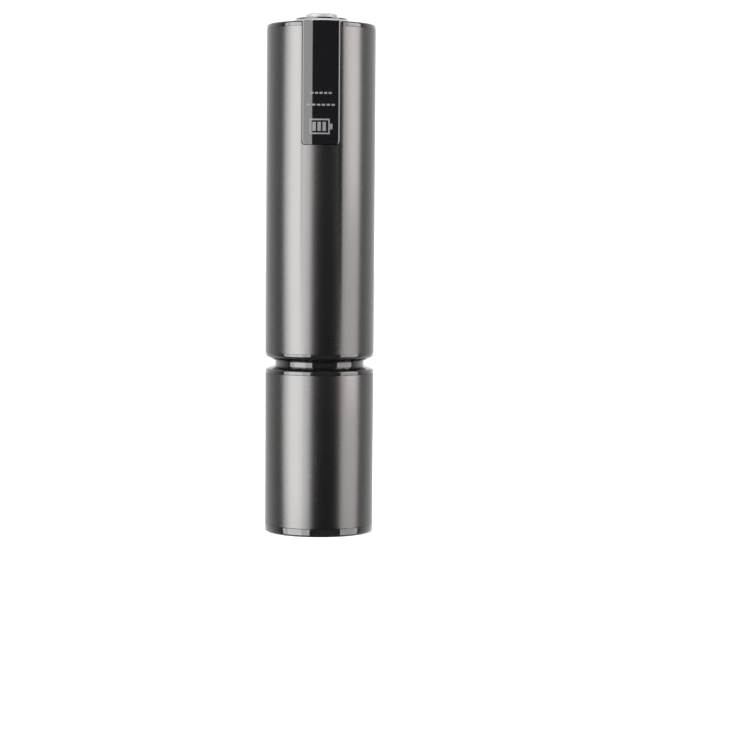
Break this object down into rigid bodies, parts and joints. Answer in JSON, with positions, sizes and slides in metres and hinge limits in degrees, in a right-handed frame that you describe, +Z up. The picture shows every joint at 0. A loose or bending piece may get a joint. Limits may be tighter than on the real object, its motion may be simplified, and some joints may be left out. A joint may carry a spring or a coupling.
{
  "type": "electric wine opener",
  "caption": "Upright cordless electric corkscrew: satin metal sleeves above and below a slim polished neck, front strip panel, round top button and a bottle bore in its base.",
  "frame": {"origin": "centre of the base ring's underside, the face the opener stands on", "axes": "+Z up the worm's axis towards the button; the front panel faces -Y; +X is to the right seen from the front"},
  "size_m": [0.055, 0.055, 0.262],
  "materials": {
    "satin_gunmetal": "satin, fine metallic flake",
    "gloss_black": "polished",
    "bright_metal": "bright, finely turned",
    "button_grey": "pale grey, satin",
    "spring_steel": "drawn wire",
    "steel": "machined",
    "circuit_board": "solder mask",
    "black_plastic": "moulded, fine grain",
    "magnet": "sintered",
    "copper_brass": "machined",
    "ivory_plastic": "moulded acetal",
    "clear_plastic": "frosted",
    "cell_wrap": "shrink film",
    "rubber": "soft seal"
  },
  "bodies": {
    "housing": {"upper_sleeve": "satin_gunmetal", "lower_sleeve": "satin_gunmetal", "top_ring": "gloss_black", "button_bezel": "bright_metal", "control_panel": "gloss_black", "upper_end_ring": "gloss_black", "neck_ring": "gloss_black", "lower_end_ring": "gloss_black", "base_ring": "gloss_black", "button_spring": "spring_steel", "tact_switch": "black_plastic", "switch_board": "circuit_board", "switch_board_screws": "steel", "control_board": "circuit_board", "control_chips": "black_plastic", "status_leds": "clear_plastic", "light_pipe": "clear_plastic", "control_board_screws": "steel", "charging_socket": "steel", "charge_board": "circuit_board", "battery_cell_left": "cell_wrap", "battery_cell_right": "cell_wrap", "battery_carrier": "black_plastic", "battery_contacts": "copper_brass", "motor_can": "steel", "motor_end_cap": "black_plastic", "motor_magnets": "magnet", "motor_screws": "steel", "motor_plate": "black_plastic", "gearbox_ring_gear": "black_plastic", "gearbox_cover": "black_plastic", "gearbox_screws": "steel", "output_bush": "copper_brass", "chassis_left": "black_plastic", "chassis_right": "black_plastic", "chassis_screws": "steel", "barrel_screws": "steel", "guide_spring": "spring_steel", "inner_barrel": "black_plastic", "seat_washer": "rubber"},
    "motor": {"motor_rotor": "copper_brass", "motor_shaft": "steel", "sun_gear_1": "copper_brass"},
    "carrier_one": {"carrier_1": "steel", "carrier_1_pins": "steel", "sun_gear_2": "copper_brass"},
    "drive": {"carrier_2": "steel", "carrier_2_pins": "steel", "worm_hub": "black_plastic", "worm_pin": "steel", "worm": "steel"},
    "cork_guide": {"cork_guide": "ivory_plastic"},
    "button": {"power_button": "button_grey"},
    "planet_1a": {"planet_1a": "ivory_plastic"},
    "planet_1b": {"planet_1b": "ivory_plastic"},
    "planet_1c": {"planet_1c": "ivory_plastic"},
    "planet_2a": {"planet_2a": "ivory_plastic"},
    "planet_2b": {"planet_2b": "ivory_plastic"},
    "planet_2c": {"planet_2c": "ivory_plastic"}
  },
  "joints": [
    {"name": "worm_spin", "type": "hinge", "parent": "housing", "child": "drive", "pos_m": [0, 0, 0.09], "axis": [0, 0, 1], "continuous": true},
    {"name": "motor_spin", "type": "hinge", "parent": "housing", "child": "motor", "pos_m": [0, 0, 0.14], "axis": [0, 0, 1], "continuous": true},
    {"name": "carrier_spin", "type": "hinge", "parent": "housing", "child": "carrier_one", "pos_m": [0, 0, 0.11], "axis": [0, 0, 1], "continuous": true},
    {"name": "planet_1a_spin", "type": "hinge", "parent": "carrier_one", "child": "planet_1a", "pos_m": [0.009, 0, 0.11], "axis": [0, 0, 1], "continuous": true},
    {"name": "planet_1b_spin", "type": "hinge", "parent": "carrier_one", "child": "planet_1b", "pos_m": [-0.0045, 0.00779, 0.11], "axis": [0, 0, 1], "continuous": true},
    {"name": "planet_1c_spin", "type": "hinge", "parent": "carrier_one", "child": "planet_1c", "pos_m": [-0.0045, -0.00779, 0.11], "axis": [0, 0, 1], "continuous": true},
    {"name": "planet_2a_spin", "type": "hinge", "parent": "drive", "child": "planet_2a", "pos_m": [0.009, 0, 0.11], "axis": [0, 0, 1], "continuous": true},
    {"name": "planet_2b_spin", "type": "hinge", "parent": "drive", "child": "planet_2b", "pos_m": [-0.0045, 0.00779, 0.11], "axis": [0, 0, 1], "continuous": true},
    {"name": "planet_2c_spin", "type": "hinge", "parent": "drive", "child": "planet_2c", "pos_m": [-0.0045, -0.00779, 0.11], "axis": [0, 0, 1], "continuous": true},
    {"name": "cork_guide_slide", "type": "slide", "parent": "housing", "child": "cork_guide", "axis": [0, 0, 1], "range_m": [0, 0.034], "stiffness_N_per_m": 60, "springref_m": -0.01, "deforming": ["guide_spring"]},
    {"name": "button_press", "type": "slide", "parent": "housing", "child": "button", "axis": [0, 0, -1], "range_m": [0, 0.001], "stiffness_N_per_m": 600, "springref_m": -0.001, "deforming": ["button_spring"]}
  ],
  "couplings": [
    {"joint": "carrier_spin", "follows": "worm_spin", "ratio": 5},
    {"joint": "motor_spin", "follows": "worm_spin", "ratio": 25},
    {"joint": "planet_1a_spin", "follows": "worm_spin", "ratio": -13.333},
    {"joint": "planet_1b_spin", "follows": "worm_spin", "ratio": -13.333},
    {"joint": "planet_1c_spin", "follows": "worm_spin", "ratio": -13.333},
    {"joint": "planet_2a_spin", "follows": "worm_spin", "ratio": -2.6667},
    {"joint": "planet_2b_spin", "follows": "worm_spin", "ratio": -2.6667},
    {"joint": "planet_2c_spin", "follows": "worm_spin", "ratio": -2.6667}
  ]
}
